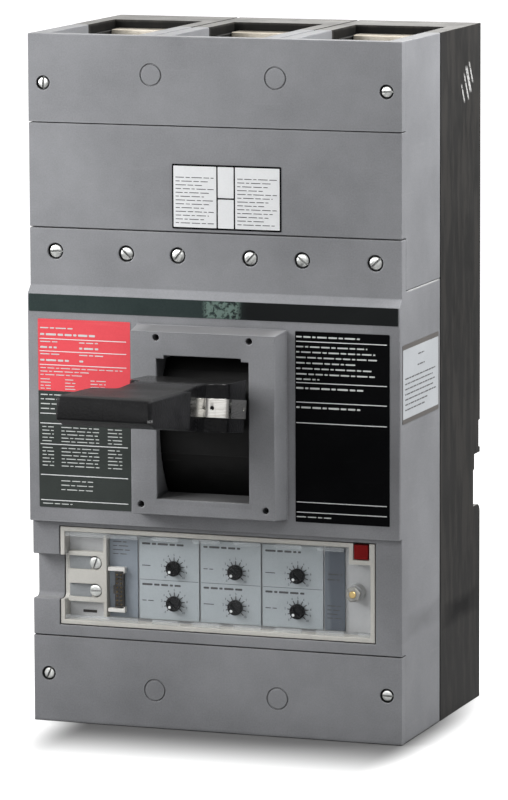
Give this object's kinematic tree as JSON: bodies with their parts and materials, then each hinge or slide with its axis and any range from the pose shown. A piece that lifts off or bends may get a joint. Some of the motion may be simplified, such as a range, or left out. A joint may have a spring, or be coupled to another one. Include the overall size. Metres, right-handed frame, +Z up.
{
  "type": "moulded circuit breaker",
  "caption": "Upright moulded circuit breaker: grey covers on a black base, open terminal wells at both ends, a long black toggle handle and a dial trip unit behind a clear window.",
  "frame": {"origin": "middle of the rear mounting face's lower edge, at the level it stands on", "axes": "+X to the right seen from the front, +Y to the rear mounting face's outside, +Z up from load end to line end"},
  "size_m": [0.2286, 0.3276, 0.4064],
  "materials": {
    "base_black": "matt moulded",
    "cover_grey": "satin moulded",
    "strap_tin": "tinned",
    "lever_black": "semi-gloss moulded",
    "shutter_black": "matt",
    "clip_steel": "bright",
    "bezel_cream": "satin",
    "unit_grey": "satin",
    "plate_blue": "satin printed",
    "strip_blue": "satin printed",
    "plug_cream": "satin",
    "connector_black": "matt",
    "latch_white": "satin",
    "clear": "clear moulded",
    "button_red": "satin",
    "dial_black": "satin",
    "screw_zinc": "zinc plated",
    "label_dark": "printed foil",
    "label_red": "printed foil",
    "label_white": "printed foil",
    "pin_gold": "gilt"
  },
  "bodies": {
    "housing": {"base": "base_black", "main_cover": "cover_grey", "upper_cover": "cover_grey", "line_shield": "cover_grey", "load_shield": "cover_grey", "line_straps": "strap_tin", "load_straps": "strap_tin", "trip_bezel": "bezel_cream", "trip_body": "unit_grey", "dial_plates": "plate_blue", "side_strips": "strip_blue", "plug_block": "plug_cream", "pin_connector": "connector_black", "connector_latches": "latch_white", "clear_cover": "clear"},
    "lever": {"lever": "lever_black", "lever_shutter": "shutter_black", "lever_clip": "clip_steel"},
    "trip_button": {"trip_button": "button_red"},
    "dial_1": {"dial_1": "dial_black"},
    "dial_2": {"dial_2": "dial_black"},
    "dial_3": {"dial_3": "dial_black"},
    "dial_4": {"dial_4": "dial_black"},
    "dial_5": {"dial_5": "dial_black"},
    "dial_6": {"dial_6": "dial_black"}
  },
  "joints": [
    {"name": "handle_swing", "type": "hinge", "parent": "housing", "child": "lever", "pos_m": [0, -0.095, 0.1823], "axis": [-1, 0, 0], "range_deg": [-26, 5.5]},
    {"name": "trip_push", "type": "slide", "parent": "housing", "child": "trip_button", "axis": [0, 1, 0], "range_m": [0, 0.002], "stiffness_N_per_m": 1500},
    {"name": "dial_1_turn", "type": "hinge", "parent": "housing", "child": "dial_1", "pos_m": [-0.0283, -0.145, 0.0945], "axis": [0, 1, 0], "range_deg": [0, 270]},
    {"name": "dial_2_turn", "type": "hinge", "parent": "housing", "child": "dial_2", "pos_m": [0.01, -0.145, 0.0945], "axis": [0, 1, 0], "range_deg": [0, 270]},
    {"name": "dial_3_turn", "type": "hinge", "parent": "housing", "child": "dial_3", "pos_m": [0.0483, -0.145, 0.0945], "axis": [0, 1, 0], "range_deg": [0, 270]},
    {"name": "dial_4_turn", "type": "hinge", "parent": "housing", "child": "dial_4", "pos_m": [-0.0283, -0.145, 0.07365], "axis": [0, 1, 0], "range_deg": [0, 270]},
    {"name": "dial_5_turn", "type": "hinge", "parent": "housing", "child": "dial_5", "pos_m": [0.01, -0.145, 0.07365], "axis": [0, 1, 0], "range_deg": [0, 270]},
    {"name": "dial_6_turn", "type": "hinge", "parent": "housing", "child": "dial_6", "pos_m": [0.0483, -0.145, 0.07365], "axis": [0, 1, 0], "range_deg": [0, 270]}
  ]
}
